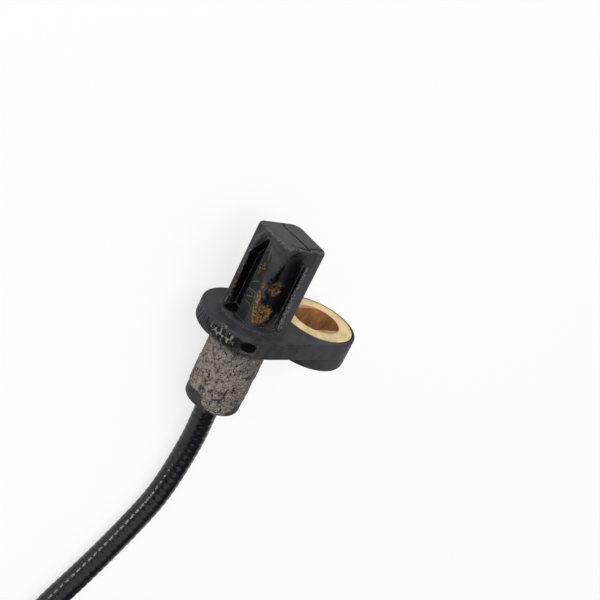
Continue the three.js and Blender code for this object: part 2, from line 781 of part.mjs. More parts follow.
const sensor = new THREE.Group();
sensor.add(makeHousing(), makeBush(), makeCarrier(), makeChip(), makeMagnet(), makeCapacitor());
sensor.add(...makeConductor(-1, 'a', coreWhite), ...makeConductor(1, 'b', coreBlack), makeFerrule());
layDown(sensor);

// The connector lies beside the coil and points along -Y.
const connector = new THREE.Group();
connector.add(makePlugHousing(), makeLock(), makeBoot());
connector.add(...makeTerminal(-1, 'a', coreWhite), ...makeTerminal(1, 'b', coreBlack));
connector.position.set(...plugPlace, 0);
connector.rotation.z = -Math.PI / 2;
connector.updateMatrixWorld(true);

// Cable from the coil to its end inside the boot
function makeTail() {
  const leave = onCoil(coilLeave, outerTurnRadius, topTurnHeight);
  const start = leave.addScaledVector(headingOnCoil(coilLeave), coilApproach());
  const route = tailRoute.map((point) => new THREE.Vector3(...point));
  const behindPlug = (x) => connector.localToWorld(new THREE.Vector3(x, 0, plugAxisHeight));
  const end = [-bootLength - cableRadius, -bootLength, -clearance].map(behindPlug);
  return toMesh('cable_tail', tube([start, ...route, ...end]), cableJacket);
}

const assembly = new THREE.Group();
assembly.add(sensor, makeCable(sensor), makeCoil(), makeTail(), connector);
tieAngles.forEach((degrees, i) => assembly.add(makeTie('abc'[i], degrees)));

export default assembly;
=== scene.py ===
# %% [markdown]
# A wheel speed sensor tells the brakes how fast a wheel turns. Its square nose holds a magnetic
# pick-up, its flange bolts to the wheel carrier, and a ribbed cable carries the signal away.
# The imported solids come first, because every piece below is placed by them.

# %% Load the fixed frame
import json
import math

import bmesh
import bpy
from mathutils import Matrix, Vector
from mathutils import noise as seeded_noise


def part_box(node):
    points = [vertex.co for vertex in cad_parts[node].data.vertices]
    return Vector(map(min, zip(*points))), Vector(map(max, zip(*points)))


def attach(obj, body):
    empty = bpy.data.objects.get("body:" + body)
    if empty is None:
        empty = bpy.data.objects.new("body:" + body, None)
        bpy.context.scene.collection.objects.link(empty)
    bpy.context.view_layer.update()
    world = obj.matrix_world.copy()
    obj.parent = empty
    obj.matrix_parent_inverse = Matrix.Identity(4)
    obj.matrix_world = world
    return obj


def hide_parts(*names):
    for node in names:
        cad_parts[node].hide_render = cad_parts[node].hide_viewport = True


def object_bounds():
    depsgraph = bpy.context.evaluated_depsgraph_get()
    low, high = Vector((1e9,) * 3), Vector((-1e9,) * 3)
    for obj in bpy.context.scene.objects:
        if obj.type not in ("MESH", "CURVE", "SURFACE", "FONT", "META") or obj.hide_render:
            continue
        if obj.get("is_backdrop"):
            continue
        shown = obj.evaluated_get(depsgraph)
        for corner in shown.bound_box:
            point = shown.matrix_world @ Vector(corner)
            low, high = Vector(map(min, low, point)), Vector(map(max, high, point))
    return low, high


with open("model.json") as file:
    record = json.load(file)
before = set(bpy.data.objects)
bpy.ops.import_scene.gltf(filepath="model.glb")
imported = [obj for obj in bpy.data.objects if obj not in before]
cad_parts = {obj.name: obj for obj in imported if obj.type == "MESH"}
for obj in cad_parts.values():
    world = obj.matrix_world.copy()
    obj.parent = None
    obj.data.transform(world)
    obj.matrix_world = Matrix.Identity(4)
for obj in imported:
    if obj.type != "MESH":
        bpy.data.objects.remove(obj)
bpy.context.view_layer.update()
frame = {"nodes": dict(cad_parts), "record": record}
nodes = frame["nodes"]

# %% [markdown]
# The sensor lies over to one side, so its own directions aren't those of the table. The record
# states the flange's face as a mount: its axis is the direction of the nose, and the middle of
# the nose lies a little way along the flange from it. Two cross products give the rest.

# %% The sensor's own directions
mm = 0.001
seat = frame["record"]["mounts"][0]
nose_axis = Vector(seat["axis"]).normalized()
ear_axis = Vector((0, -1, 0))
side_axis = nose_axis.cross(ear_axis)
seat_to_nose = 9.3 * mm
sensor_origin = Vector(seat["pos_m"]) + seat_to_nose * ear_axis
sensor_turn = Matrix((ear_axis, side_axis, nose_axis)).transposed()
sensor_place = Matrix.Translation(sensor_origin) @ sensor_turn.to_4x4()


def on_sensor(x, y, z):
    """A point given in the sensor's own millimetres, as a point over the table."""
    return sensor_place @ Vector((x * mm, y * mm, z * mm))


print("nose leans by", round(math.degrees(math.asin(nose_axis.z)), 2), "degrees")

# %% [markdown]
# The camera stands where the photograph was taken from: close to the sensor, looking down on it
# past the end of the nose. A camera looks along its own -Z with +Y up, so three directions at
# right angles to one another turn it. The shift moves the picture without turning the view.

# %% Camera
camera_data = bpy.data.cameras.new("camera")
camera_data.sensor_width = 36
camera_data.lens = 72.96
camera_data.shift_x = 0.0794
camera_data.shift_y = 0.0254
camera_data.clip_start = 0.01
camera = bpy.data.objects.new("camera", camera_data)
bpy.context.scene.collection.objects.link(camera)

camera_distance = 266.26 * mm
towards_camera = Vector((0.24742, 0.64154, 0.72609)).normalized()
picture_up = Vector((0.93108, 0.04992, -0.36138))
picture_right = picture_up.cross(towards_camera).normalized()
picture_up = towards_camera.cross(picture_right)
camera_turn = Matrix((picture_right, picture_up, towards_camera)).transposed().to_4x4()
camera_spot = sensor_origin + camera_distance * towards_camera
camera.matrix_world = Matrix.Translation(camera_spot) @ camera_turn
bpy.context.scene.camera = camera
print("camera at", tuple(round(v, 4) for v in camera_spot))

# %% [markdown]
# The cable leaves the body, sinks to the table under its own weight and runs out of the picture.
# The rest is wound in a flat coil as for storage and ends in the connector. The points are in
# millimetres, and a curve that passes through each of them joins them up.

# %% The cable's route
cable_radius = 2.8
body_end = -23.6
jacket_start = -17.5
free_points = [
    (-31.2, 8.95, 4.35), (-36.9, 10.1, 3.65), (-42.3, 11.75, 3.2), (-47.4, 14.1, 3),
    (-51.9, 17.1, 2.9), (-60.4, 23.9, 2.9), (-66.5, 29.3, 2.9), (-72.7, 35, 2.9),
    (-77, 38.5, 2.95), (-81.9, 41.2, 3), (-87.2, 43, 3.1), (-95.5, 44.7, 3.4),
]
tail_points = [(-147, 41.4, 7.4), (-153.6, 36.9, 5.7), (-158.1, 30.3, 5), (-160, 24.2, 5.35)]
plug_line = [(-160.3, 19.8, 6), (-160.3, 17, 6), (-160.3, 0.3, 6)]
inside = [tuple(on_sensor(0, 0, z) / mm) for z in (jacket_start, body_end, body_end - cable_radius)]
print("cable leaves the body at", tuple(round(v, 2) for v in inside[1]))

# %% [markdown]
# A coil's turns lie beside and on each other, one cable apart: two turns on the table and two on
# top of them. Each turn keeps its place for most of the way round and moves over to the next
# place in a short stretch, so that no two turns meet. Each key is an angle in degrees, a distance
# from the coil's middle and a height over the table, and a loop works out the points.

# %% The coil
coil_centre = (-116, 14.1)
outer_turn, inner_turn = 31.3, 25.7
low_turn, high_turn = 3.7, 9.3
coil_keys = [
    (86, outer_turn, low_turn), (420, outer_turn, low_turn), (446, inner_turn, low_turn),
    (735, inner_turn, low_turn), (778, inner_turn, high_turn), (1050, inner_turn, high_turn),
    (1092, outer_turn, high_turn), (1470, outer_turn, high_turn), (1524, 36.9, high_turn),
    (1545, 37, high_turn - 0.4), (1566, 37.4, high_turn - 1),
]


def coil_point(degrees):
    """The point of the cable at an angle round the coil, eased from one key to the next."""
    for (start, r0, z0), (end, r1, z1) in zip(coil_keys, coil_keys[1:]):
        if degrees <= end:
            break
    share = (degrees - start) / (end - start)
    ease = share * share * (3 - 2 * share)
    radius = r0 + (r1 - r0) * ease
    turn = math.radians(degrees)
    x = coil_centre[0] + radius * math.cos(turn)
    y = coil_centre[1] + radius * math.sin(turn)
    return (x, y, z0 + (z1 - z0) * ease)


coil_start, coil_end, coil_step = 86, 1546, 10
coil_points = [coil_point(angle) for angle in range(coil_start, coil_end, coil_step)]
cable_points = [Vector(p) * mm for p in inside + free_points + coil_points + tail_points + plug_line]
print("points chosen for the cable:", len(cable_points))


# %% A smooth line through points
def smooth_line(points, spacing):
    """Points at an even spacing on a curve that passes through all the given points."""
    ends = [2 * points[0] - points[1], *points, 2 * points[-1] - points[-2]]
    dense = []
    for a, b, c, d in zip(ends, ends[1:], ends[2:], ends[3:]):
        t1 = (b - a).length ** 0.5
        t2 = t1 + (c - b).length ** 0.5
        t3 = t2 + (d - c).length ** 0.5
        for step in range(24):
            t = t1 + (t2 - t1) * step / 24
            ab = a + (b - a) * t / t1
            bc = b + (c - b) * (t - t1) / (t2 - t1)
            cd = c + (d - c) * (t - t2) / (t3 - t2)
            abc = ab + (bc - ab) * t / t2
            bcd = bc + (cd - bc) * (t - t1) / (t3 - t1)
            dense.append(abc + (bcd - abc) * (t - t1) / (t2 - t1))
    dense.append(points[-1])
    line, wanted, gone = [dense[0]], spacing, 0.0
    for a, b in zip(dense, dense[1:]):
        step = (b - a).length
        while gone + step >= wanted:
            line.append(a.lerp(b, (wanted - gone) / step))
            wanted += spacing
        gone += step
    return line, gone


ring_pitch = 1.69 * mm
ring_profile = (0.964, 0.990, 1, 1, 1, 0.990)
cable_line, cable_length = smooth_line(cable_points, ring_pitch / len(ring_profile))
print("cable length", round(cable_length, 3), "m in", len(cable_line), "points")

# %% [markdown]
# The jacket is ringed like a fine bellows, which lets it bend in one place after another. A curve
# with a round bevel makes the tube. The bevel's depth is 1, so the radius at each point is the
# tube's real radius there, and it goes down and up once in every ring.

# %% Cable
cable_data = bpy.data.curves.new("ringed_cable", "CURVE")
cable_data.dimensions = "3D"
cable_data.bevel_depth = 1.0
cable_data.bevel_resolution = 8
cable_data.use_fill_caps = True
spline = cable_data.splines.new("POLY")
spline.points.add(len(cable_line) - 1)
for i, point in enumerate(cable_line):
    spline.points[i].co = (*point, 1)
    spline.points[i].radius = cable_radius * mm * ring_profile[i % len(ring_profile)]
spline.use_smooth = True
cable = bpy.data.objects.new("ringed_cable", cable_data)
bpy.context.scene.collection.objects.link(cable)
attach(cable, "root")
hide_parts("cable", "cable_coil", "cable_tail")

# %% [markdown]
# The table is a wide pale disc. Light Path tells the camera's rays apart from the others: they see
# it nearly white by itself, and the diffuse part that is mixed in still carries the soft shadow.
# The world is a studio with pale walls and a darker ceiling. The camera and every glossy or clear
# surface see it like that, and the rest of its light is dim, because the lamps do most of the work.
# The overhead lamp is wide and gives the soft shadow. The low one stands at the picture's left and
# draws the row of glints along the cable's rings.

# %% Helpers for node trees
def add(tree, kind, sockets=None, **settings):
    """Adds a node, sets its settings, and fills its sockets with values or with links."""
    made = tree.nodes.new(kind)
    for key, value in settings.items():
        setattr(made, key, value)
    for key, value in (sockets or {}).items():
        if isinstance(value, bpy.types.NodeSocket):
            tree.links.new(value, made.inputs[key])
        else:
            made.inputs[key].default_value = value
    return made


def calculate(tree, operation, a, b=0.5, clamp=False):
    """One Math node, given back as its output."""
    return add(tree, "ShaderNodeMath", {0: a, 1: b}, operation=operation, use_clamp=clamp).outputs[0]


def times(tree, a, b):
    """The product of two values."""
    return calculate(tree, "MULTIPLY", a, b)


def scale_between(tree, value, low, high, out_low=0.0, out_high=1.0):
    """Stretches the stretch from low to high of a value to a new range, and cuts off the rest."""
    sockets = {"Value": value, "From Min": low, "From Max": high, "To Min": out_low, "To Max": out_high}
    return add(tree, "ShaderNodeMapRange", sockets, interpolation_type="SMOOTHSTEP").outputs[0]


def mix_colours(tree, share, a, b):
    """Colour a where share is 0 and colour b where it is 1."""
    made = add(tree, "ShaderNodeMix", data_type="RGBA")
    for socket, value in zip((made.inputs[0], made.inputs[6], made.inputs[7]), (share, a, b)):
        if isinstance(value, bpy.types.NodeSocket):
            tree.links.new(value, socket)
        else:
            socket.default_value = value if isinstance(value, float) else (*value, 1)
    return made.outputs[2]


def painted_over(tree, colour, share, strength, paint):
    """A colour with a paint over it, at a strength, where a share from 0 to 1 says so."""
    return mix_colours(tree, times(tree, share, strength), colour, paint)


def new_finish(name):
    """A material with a Principled shader: the material, its tree and the shader."""
    material = bpy.data.materials.new(name)
    material.use_nodes = True
    return material, material.node_tree, material.node_tree.nodes["Principled BSDF"]


def looked_at(tree):
    """1 for rays from the camera, a mirror or a clear surface, and 0 for light that spreads."""
    rays = add(tree, "ShaderNodeLightPath")
    mirrored = calculate(tree, "MAXIMUM", rays.outputs["Is Glossy Ray"], rays.outputs["Is Transmission Ray"])
    return calculate(tree, "MAXIMUM", rays.outputs["Is Camera Ray"], mirrored)


# %% Table and surroundings
table_radius = 3.0
table_mesh = bpy.data.meshes.new("table")
shape = bmesh.new()
bmesh.ops.create_circle(shape, cap_ends=True, segments=96, radius=table_radius)
shape.to_mesh(table_mesh)
shape.free()
table = bpy.data.objects.new("table", table_mesh)
bpy.context.scene.collection.objects.link(table)
table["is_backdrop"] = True

table_finish, tree, shader = new_finish("pale_table")
shader.inputs["Roughness"].default_value = 0.9
shader.inputs["Specular IOR Level"].default_value = 0.0
shader.inputs["Emission Color"].default_value = (1, 1, 1, 1)
seen = looked_at(tree)
table_colour = mix_colours(tree, seen, (0.8, 0.8, 0.8), (0.34, 0.34, 0.34))
tree.links.new(table_colour, shader.inputs["Base Color"])
table_glow = 0.76
tree.links.new(times(tree, seen, table_glow), shader.inputs["Emission Strength"])
table_mesh.materials.append(table_finish)

world = bpy.data.worlds.new("surroundings")
bpy.context.scene.world = world
world.use_nodes = True
tree = world.node_tree
background = tree.nodes["Background"]
background.inputs["Color"].default_value = (1, 1, 1, 1)
world_strength, ceiling_strength = 0.3, 0.12
direction = add(tree, "ShaderNodeTexCoord").outputs["Generated"]
height = add(tree, "ShaderNodeSeparateXYZ", {"Vector": direction}).outputs["Z"]
walls = scale_between(tree, height, 0.2, 0.5, 1.0, ceiling_strength)
seen = looked_at(tree)
spread = times(tree, calculate(tree, "SUBTRACT", 1.0, seen), world_strength)
strength = calculate(tree, "ADD", times(tree, walls, seen), spread)
tree.links.new(strength, background.inputs["Strength"])
bpy.context.scene.view_settings.view_transform = "Standard"


# %% Lamps
def soft_lamp(name, place, target, width, height, power):
    """A lamp with a bright rectangle that looks from its place to its target."""
    lamp_data = bpy.data.lights.new(name, "AREA")
    lamp_data.shape = "RECTANGLE"
    lamp_data.size = width
    lamp_data.size_y = height
    lamp_data.energy = power
    lamp = bpy.data.objects.new(name, lamp_data)
    bpy.context.scene.collection.objects.link(lamp)
    lamp.location = place
    lamp.rotation_euler = (Vector(target) - Vector(place)).to_track_quat("-Z", "Y").to_euler()


target = (-0.01, 0.005, 0.01)
soft_lamp("overhead_lamp", (0.25, 0.1, 0.75), target, 1.1, 1.1, 3.8)
soft_lamp("low_lamp", (0.34, 0.68, 0.045), (-0.05, 0.02, 0.003), 0.34, 0.06, 1.9)

# %% [markdown]
# The housing is one moulding, and the CAD solid has its true shape. Its mesh is loose triangles,
# though, so its round faces would show their facets. A copy with its doubles merged can have
# smooth normals wherever two faces meet at a small angle, and keeps its real edges sharp.

# %% Housing
merge_distance = 1e-6


def shown(shape, name, angle):
    """Turns a bmesh into an object, shaded smooth wherever its faces meet under an angle."""
    for face in shape.faces:
        face.smooth = True
    for edge in shape.edges:
        edge.smooth = edge.is_manifold and edge.calc_face_angle(0) < math.radians(angle)
    mesh = bpy.data.meshes.new(name)
    shape.to_mesh(mesh)
    shape.free()
    piece = bpy.data.objects.new(name, mesh)
    bpy.context.scene.collection.objects.link(piece)
    return piece


def smooth_copy(node_name, piece_name, angle=32):
    """A copy of a solid whose small angles are shaded smooth, which stands for that solid."""
    shape = bmesh.new()
    shape.from_mesh(nodes[node_name].data)
    bmesh.ops.remove_doubles(shape, verts=shape.verts, dist=merge_distance)
    bmesh.ops.dissolve_degenerate(shape, edges=shape.edges, dist=merge_distance)
    piece = shown(shape, piece_name, angle)
    weighted = piece.modifiers.new("even_normals", "WEIGHTED_NORMAL")
    weighted.keep_sharp = True
    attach(piece, "root")
    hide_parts(node_name)
    print(piece_name, len(piece.data.polygons), "faces")
    return piece


housing = smooth_copy("sensor_housing", "moulded_housing")

# %% [markdown]
# Patterns on the sensor are placed in its own millimetres. A Mapping node of the Texture kind
# undoes the sensor's place, turn and scale, so that a patch of rust is written as a point on the
# moulding. Noise, stretched noise and contour lines of noise make the grain in each patch.

# %% Patterns in the sensor's own millimetres
def sensor_place_of(tree):
    """Coordinates in the sensor's own millimetres, from the Object coordinates."""
    here = add(tree, "ShaderNodeTexCoord").outputs["Object"]
    mapping = add(tree, "ShaderNodeMapping", {"Vector": here}, vector_type="TEXTURE")
    mapping.inputs["Location"].default_value = sensor_origin
    mapping.inputs["Rotation"].default_value = sensor_turn.to_euler()
    mapping.inputs["Scale"].default_value = (mm, mm, mm)
    return mapping.outputs[0]


def vector_step(tree, operation, a, b=(0, 0, 0)):
    """One Vector Math node."""
    return add(tree, "ShaderNodeVectorMath", {0: a, 1: b}, operation=operation)


def noise(tree, place, scale, detail=4.0, roughness=0.6):
    """Cloudy noise from 0 to 1, with features about 1 / scale long."""
    sockets = {"Vector": place, "Scale": scale, "Detail": detail, "Roughness": roughness}
    return add(tree, "ShaderNodeTexNoise", sockets).outputs["Fac"]


def stretched(tree, place, factors):
    """The same coordinates, squeezed or stretched along each direction."""
    return vector_step(tree, "MULTIPLY", place, factors).outputs[0]


def contour(tree, value, level, width):
    """1 on the lines where a value has the given level, and 0 away from them."""
    off = calculate(tree, "ABSOLUTE", calculate(tree, "SUBTRACT", value, level))
    return scale_between(tree, off, 0.3 * width, width, 1.0, 0.0)


def largest(tree, values):
    """The largest of several values at each point."""
    result = values[0]
    for value in values[1:]:
        result = calculate(tree, "MAXIMUM", result, value)
    return result


# %% [markdown]
# Marks that the photograph shows in one place are patches and strokes. A patch is a soft
# ellipsoid. A stroke follows a line from one point to the next: the nearest point of the line is
# found by a dot product, and the distance to it fades the stroke out. Noise tears both edges.

# %% Patches and strokes
def torn_edge(tree, distance, torn, raggedness):
    """1 where a distance is below 1, with an edge that noise moves in and out."""
    rough = times(tree, calculate(tree, "SUBTRACT", torn, 0.5), 2 * raggedness)
    return scale_between(tree, calculate(tree, "ADD", distance, rough), 0.8, 1.0, 1.0, 0.0)


def patch(tree, place, middle, reach, torn, raggedness=0.5):
    """1 inside an ellipsoid with the given middle and reach, 0 outside."""
    away = vector_step(tree, "SUBTRACT", place, middle).outputs[0]
    inverse = tuple(1 / length for length in reach)
    distance = vector_step(tree, "LENGTH", stretched(tree, away, inverse)).outputs["Value"]
    return torn_edge(tree, distance, torn, raggedness)


def stroke(tree, place, points, width, torn, raggedness=0.5):
    """1 along a line through the given points, as far as half its width."""
    parts = []
    for start, end in zip(points, points[1:]):
        along = Vector(end) - Vector(start)
        away = vector_step(tree, "SUBTRACT", place, start).outputs[0]
        share = vector_step(tree, "DOT_PRODUCT", away, along).outputs["Value"]
        share = calculate(tree, "DIVIDE", share, along.length_squared, True)
        near = add(tree, "ShaderNodeVectorMath", {0: along, "Scale": share}, operation="SCALE").outputs[0]
        off = vector_step(tree, "SUBTRACT", away, near).outputs[0]
        parts.append(calculate(tree, "DIVIDE", vector_step(tree, "LENGTH", off).outputs["Value"], width / 2))
    nearest = parts[0]
    for part in parts[1:]:
        nearest = calculate(tree, "MINIMUM", nearest, part)
    return torn_edge(tree, nearest, torn, raggedness)


# %% [markdown]
# Wear and painted shade follow the shape. The Bevel node gives the normal that a softened edge
# would have, so the angle between it and the true normal is large only near edges, where plastic
# rubs pale and where the nose also gets a painted highlight. Ambient occlusion over a short distance
# finds the corners, which get painted shade.

# %% Edges, corners and relief
def edge_of(tree, reach):
    """0 on flat faces, and more the nearer to an edge, within a reach in millimetres."""
    soft = add(tree, "ShaderNodeBevel", {"Radius": reach * mm}, samples=6).outputs[0]
    true = add(tree, "ShaderNodeNewGeometry").outputs["Normal"]
    return calculate(tree, "SUBTRACT", 1.0, vector_step(tree, "DOT_PRODUCT", soft, true).outputs["Value"])


def shelter_of(tree, reach):
    """0 in the open and up to 1 in corners and grooves, within a reach in millimetres."""
    open_share = add(tree, "ShaderNodeAmbientOcclusion", {"Distance": reach * mm}, samples=6).outputs["AO"]
    return calculate(tree, "SUBTRACT", 1.0, open_share)


def bumped(tree, shader, height, distance, rounding=None):
    """Gives the shader a bump of a real height in millimetres, over softened edges if asked."""
    sockets = {"Height": height, "Distance": distance * mm}
    if rounding:
        sockets["Normal"] = add(tree, "ShaderNodeBevel", {"Radius": rounding * mm}, samples=6).outputs[0]
    bump = add(tree, "ShaderNodeBump", sockets)
    tree.links.new(bump.outputs[0], shader.inputs["Normal"])


# %% [markdown]
# The moulding is black nylon that has been out in the wet for years. Its skin has a grey bloom.
# The flute, the hollow, the slit and the rim's window are painted near black as painted shade, and
# corners get painted shade too, while a few faces are painted lighter as painted light. Scratches
# run along the nose, and the edges are painted pale: rubbed wear and a painted highlight.

# %% Black plastic: bloom, painted shade and light, scratches, and rubbed edges with a painted highlight
plastic, tree, shader = new_finish("weathered_black_plastic")
place = sensor_place_of(tree)
cloud = noise(tree, place, 0.35, 5.0)
grain = noise(tree, place, 4.0, 6.0, 0.7)
torn = noise(tree, place, 0.9, 5.0)

mottling = calculate(tree, "ADD", times(tree, grain, 0.5), times(tree, cloud, 0.5))
bloom_share = scale_between(tree, mottling, 0.3, 0.7)
bloom = mix_colours(tree, bloom_share, (0.026, 0.026, 0.030), (0.080, 0.080, 0.088))
# Painted shade: the flute, the hollow, the rim's window and the slit are painted near black, and they are a
# little smoother.
recess_shade_places = [
    ((-4.6, 1.7, 8.0), (3.4, 2.9, 12.4), 0.2),
    ((-1.3, -5.4, 10.8), (3.9, 3.2, 10.2), 0.35),
    ((-6.1, -9.3, -2.2), (2.1, 1.9, 1.3), 0.2),
    ((1.9, -6.0, 8.5), (0.65, 1.0, 8.8), 0.25),
]
recess_shade = largest(tree, [patch(tree, place, middle, reach, torn, rag) for middle, reach, rag in recess_shade_places])
colour = mix_colours(tree, times(tree, recess_shade, 0.97), bloom, (0.0015, 0.0015, 0.0030))
# Painted light: the band right of the slit, the ear's side and the end face are painted lighter, as faces
# that catch the light.
lit_band_right_of_slit = patch(tree, place, (4.9, -6.0, 10.5), (1.9, 2.2, 12.0), torn, 0.4)
lit_ear_side = patch(tree, place, (17.0, -10.0, -4.0), (13.0, 3.5, 5.0), torn, 0.3)
lit_end_face = patch(tree, place, (0.6, 0.0, 21.0), (8.5, 8.5, 1.0), torn, 0.1)
worn = largest(tree, [lit_band_right_of_slit, times(tree, lit_ear_side, 0.6), times(tree, lit_end_face, 0.7)])
colour = painted_over(tree, colour, worn, 0.7, (0.100, 0.100, 0.108))
pillar = stroke(tree, place, [(-5.1, -1.6, 15.5), (-5.1, -1.7, 6.0), (-5.1, -1.9, 1.0)], 3.6, torn, 0.3)
colour = painted_over(tree, colour, pillar, 0.8, (0.014, 0.019, 0.015))
# Painted shade: corners and grooves found by ambient occlusion are darkened towards black.
corner_shade = scale_between(tree, shelter_of(tree, 1.6), 0.3, 0.75)
colour = painted_over(tree, colour, corner_shade, 0.75, (0.004, 0.004, 0.005))

long_noise = noise(tree, stretched(tree, place, (5.0, 5.0, 0.5)), 1.1, 3.0)
scratches = times(tree, scale_between(tree, long_noise, 0.66, 0.75), 0.35)
# Edges are painted pale: partly rubbed wear, partly a painted highlight along them.
edges = scale_between(tree, edge_of(tree, 0.5), 0.04, 0.2)
rubbed = times(tree, edges, scale_between(tree, noise(tree, place, 1.6, 5.0, 0.7), 0.40, 0.58))
colour = mix_colours(tree, scratches, colour, (0.11, 0.11, 0.115))
colour = painted_over(tree, colour, rubbed, 0.8, (0.17, 0.17, 0.175))

# %% [markdown]
# Single marks come next: the scuffed rib beside the slit, with a painted highlight along its edge,
# the V-shaped cuts in the left face, a painted highlight along the border of the end face, the
# mould's seam with its gate on the end, and the pale deposit between the pads of the rim. A row
# of a list is the line that the mark follows, its width, how ragged it is and how much it shows.

# %% Black plastic: single marks
# Pale strokes: cuts and scuff marks, with painted highlights along the rib beside the slit (first two rows)
# and along the end face's border (third row).
scuffs_and_highlights = [
    ([(2.75, -6, 16.2), (2.6, -6, 9.0), (2.75, -6, 4.5), (3.2, -6, 0.8)], 0.9, 1.1, 1.0),
    ([(3.1, -6, 7.0), (3.0, -6, 3.0), (3.4, -6, 0.8)], 1.1, 1.1, 0.9),
    ([(-4.8, 5.2, 20.5), (-4.8, -5.0, 20.5), (-3.9, -5.6, 20.4), (6.0, -5.7, 20.4)], 0.8, 1.0, 0.5),
    ([(-5.1, -0.55, 7.3), (-5.1, -2.9, 7.7), (-5.1, -3.3, 6.6), (-5.1, -0.9, 5.6)], 0.22, 0.6, 0.45),
    ([(-5.1, -0.53, 6.9), (-5.1, -2.22, 7.0), (-5.1, -2.36, 6.5)], 0.16, 0.3, 0.4),
    ([(-5.1, -1.2, 4.5), (-5.1, -2.88, 4.8), (-5.1, -3.0, 4.1)], 0.16, 0.3, 0.4),
    ([(-5.1, -0.8, 9.1), (-5.1, -2.2, 10.1)], 0.24, 0.6, 0.35),
    ([(-5.1, -1.42, 18.4), (-5.1, -1.8, 17.6), (-5.1, -1.8, 16.6), (-5.1, -2.2, 15.4)], 0.45, 0.5, 0.4),
    ([(-5.1, 3.7, 18.1), (-5.1, 2.4, 19.6)], 0.5, 0.6, 0.3),
    ([(-5.1, 4.0, 18.0), (-5.1, 4.3, 13.0), (-5.1, 4.0, 8.0), (-5.1, 4.1, 4.5), (-5.1, 4.4, 0.0)],
     0.5, 0.7, 0.6),
]
widest_cut = 0.25
broken = scale_between(tree, noise(tree, place, 2.0, 6.0, 0.75), 0.45, 0.57)
for points, width, raggedness, strength in scuffs_and_highlights:
    mark = times(tree, stroke(tree, place, points, width, torn, raggedness), strength)
    if width > widest_cut:
        mark = times(tree, mark, broken)
    colour = mix_colours(tree, mark, colour, (0.24, 0.24, 0.24))
specks = scale_between(tree, noise(tree, place, 2.4, 6.0, 0.8), 0.66, 0.72)
colour = painted_over(tree, colour, specks, 0.45, (0.20, 0.20, 0.20))

dark_lines = [
    ([(1.5, 5.8, 20.7), (0.6, 3.9, 20.7), (0.6, 1.5, 20.7), (0.7, -0.2, 20.7)], 0.85, 0.7),
    ([(0.7, -0.2, 20.7), (0.93, -0.9, 20.7), (1.28, -5.6, 20.7)], 0.72, 0.2),
    ([(1.5, -5.3, 20.7), (3.4, -4.95, 20.7), (5.5, -5.05, 20.7)], 0.6, 0.4),
    ([(-3.0, -4.3, 20.7), (-1.0, -5.2, 20.7), (1.3, -5.6, 20.7)], 0.45, 0.5),
]
seams = largest(tree, [stroke(tree, place, points, width, torn, rag) for points, width, rag in dark_lines])
gate = patch(tree, place, (0.62, -0.25, 20.7), (0.75, 0.75, 0.8), torn, 0.3)
cut = calculate(tree, "MAXIMUM", seams, gate)
colour = painted_over(tree, colour, cut, 0.9, (0.003, 0.003, 0.004))
disc_radius, disc_offset, pad_height = 11.1, -0.9, 0.35
from_disc = vector_step(tree, "MULTIPLY_ADD", place, (1, 1, 0))
from_disc.inputs[2].default_value = (-disc_offset, 0, 0)
from_disc = vector_step(tree, "LENGTH", from_disc.outputs[0]).outputs["Value"]
ground, pad_foot = disc_radius - 0.6 * pad_height, disc_radius - 0.3 * pad_height
sunk = scale_between(tree, from_disc, ground, pad_foot, 1.0, 0.0)
padded = patch(tree, place, (-9.4, -4.6, -2.2), (4.2, 6.4, 1.75), torn, 0.35)
colour = painted_over(tree, colour, padded, 0.75, (0.006, 0.006, 0.007))
deposit = patch(tree, place, (-10.4, -4.6, -2.2), (2.6, 4.2, 2.2), torn, 0.5)
blots = scale_between(tree, noise(tree, place, 1.6, 5.0), 0.60, 0.66)
deposit = times(tree, deposit, calculate(tree, "MAXIMUM", sunk, blots))
deposit = times(tree, deposit, scale_between(tree, noise(tree, place, 1.0, 5.0, 0.7), 0.44, 0.53))
colour = painted_over(tree, colour, deposit, 0.85, (0.40, 0.40, 0.33))
print("single marks:", len(scuffs_and_highlights) + len(dark_lines) + 2)

# %% [markdown]
# Rust from the hub has settled on two faces of the nose. Where it is thick it is orange, with
# dark holes, and where it is thin only the rims of the flakes have colour. Those rims are the
# contour lines of the same noise that shapes the flakes.

# %% Black plastic: rust
thick_places = [
    patch(tree, place, (-3.0, -5.8, 3.9), (2.7, 1.7, 3.0), torn, 0.55),
    stroke(tree, place, [(-5.0, -4.2, 8.3), (-5.0, -4.7, 5.0), (-4.5, -5.5, 2.2)], 1.4, torn, 0.4),
    patch(tree, place, (-5.0, -4.15, 10.2), (0.8, 0.5, 0.8), torn, 0.25),
    patch(tree, place, (-2.3, -6.0, 9.7), (1.6, 1.4, 1.3), torn, 0.6),
]
thin_places = [
    patch(tree, place, (-2.7, -6.0, 10.6), (2.3, 1.2, 2.1), torn, 0.7),
    patch(tree, place, (-5.0, -1.7, 12.5), (0.8, 1.2, 2.0), torn, 0.5),
    stroke(tree, place, [(-5.1, 4.2, 7.9), (-5.1, 3.8, 3.0), (-5.1, 3.7, -1.0)], 1.1, torn, 0.8),
]
thick = largest(tree, thick_places)
rusty = calculate(tree, "MAXIMUM", thick, largest(tree, thin_places))
flakes = noise(tree, place, 0.85, 5.0, 0.62)
rims = contour(tree, flakes, 0.52, 0.06)
solid = times(tree, scale_between(tree, flakes, 0.41, 0.47), thick)
covered = times(tree, calculate(tree, "MAXIMUM", rims, solid), rusty)
stain = times(tree, rusty, 0.7)
colour = mix_colours(tree, stain, colour, (0.020, 0.014, 0.008))
tone = scale_between(tree, noise(tree, place, 1.5, 6.0, 0.75), 0.40, 0.66)
rust_colour = mix_colours(tree, tone, (0.070, 0.040, 0.019), (0.40, 0.22, 0.075))
cover = scale_between(tree, thick, 0.0, 1.0, 0.8, 1.0)
colour = mix_colours(tree, times(tree, covered, cover), colour, rust_colour)
print("rust places:", len(thick_places) + len(thin_places))
